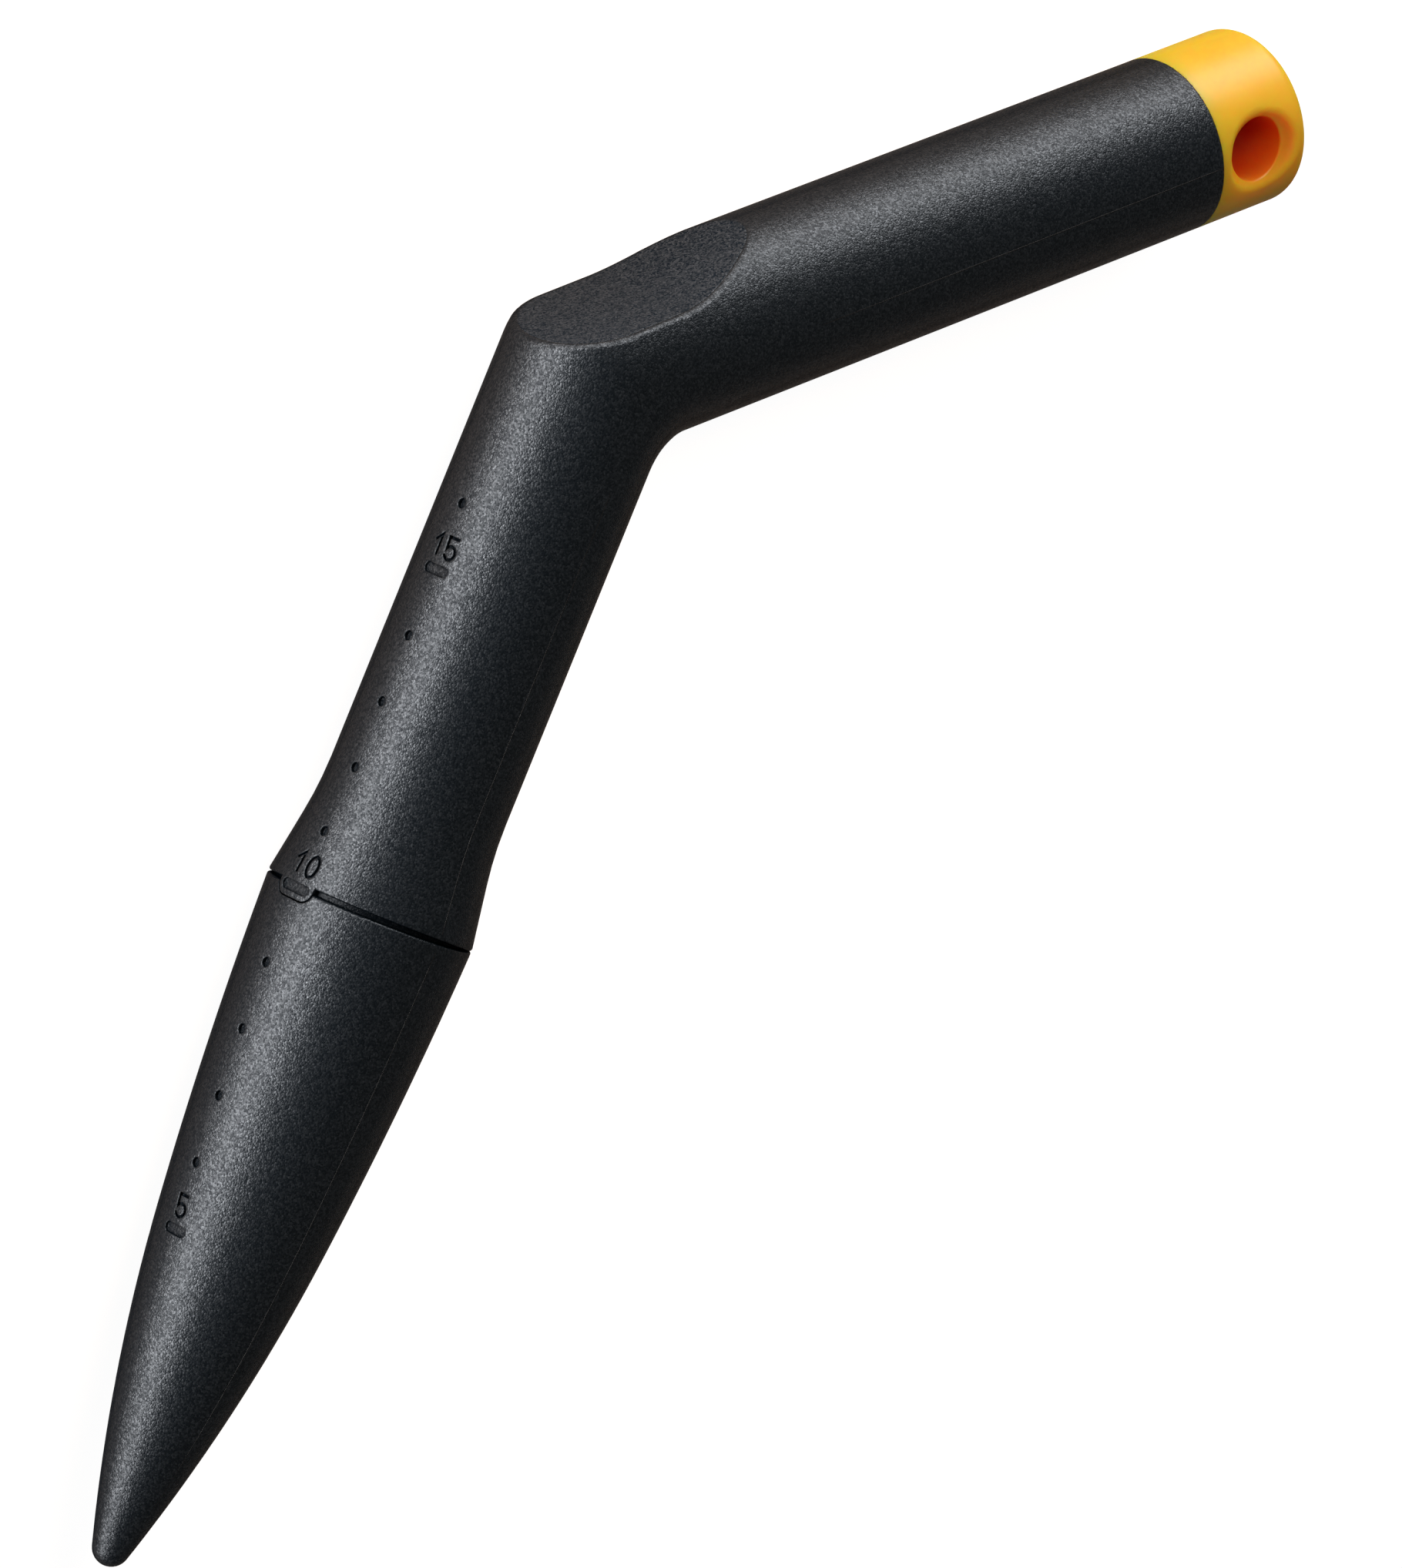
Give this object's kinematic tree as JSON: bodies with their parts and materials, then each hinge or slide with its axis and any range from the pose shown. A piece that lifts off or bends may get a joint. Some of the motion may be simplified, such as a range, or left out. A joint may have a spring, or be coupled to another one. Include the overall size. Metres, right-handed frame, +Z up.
{
  "type": "dibber",
  "caption": "Bent hand dibber with a planting cone, a depth scale in centimetres, a thumb rest on the bend and an end cap with a hanging hole.",
  "frame": {"origin": "under the middle of the tool's box, on the surface that the tool lies on", "axes": "+X along the shaft towards the planting tip, +Y to the side that the handle bends to, +Z up, square to the plane of the bend"},
  "size_m": [0.2646, 0.1284, 0.031],
  "materials": {
    "black_plastic": "moulded, fine leather-like grain",
    "orange_plastic": "moulded, smooth and glossy",
    "stippled_plastic": "moulded, matte and finely stippled"
  },
  "bodies": {
    "root": {"grip_body": "black_plastic", "planting_cone": "black_plastic", "hang_cap": "orange_plastic", "thumb_rest": "stippled_plastic"}
  },
  "joints": []
}
